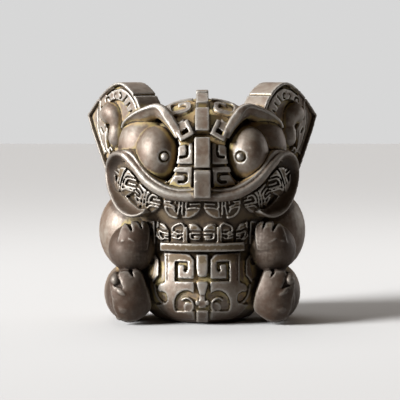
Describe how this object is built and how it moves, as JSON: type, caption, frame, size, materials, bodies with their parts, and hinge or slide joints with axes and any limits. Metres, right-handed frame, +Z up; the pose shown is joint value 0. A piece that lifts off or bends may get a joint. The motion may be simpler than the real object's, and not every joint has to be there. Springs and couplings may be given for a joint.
{
  "type": "swallowing beast statue",
  "caption": "Squat guardian beast statue with bulging eyes, fan-shaped ears, a wide toothed mouth, fretted relief and a block crest.",
  "frame": {"origin": "on the flat underside, in the middle of the statue's width and depth", "axes": "+Z up, the beast looks along -Y, +X is towards its left ear"},
  "size_m": [0.1434, 0.1106, 0.1448],
  "materials": {
    "bronze": "cast bronze, dark brown patina, satin worn high places and ochre dust in the recesses"
  },
  "bodies": {
    "root": {"beast_statue": "bronze"}
  },
  "joints": []
}
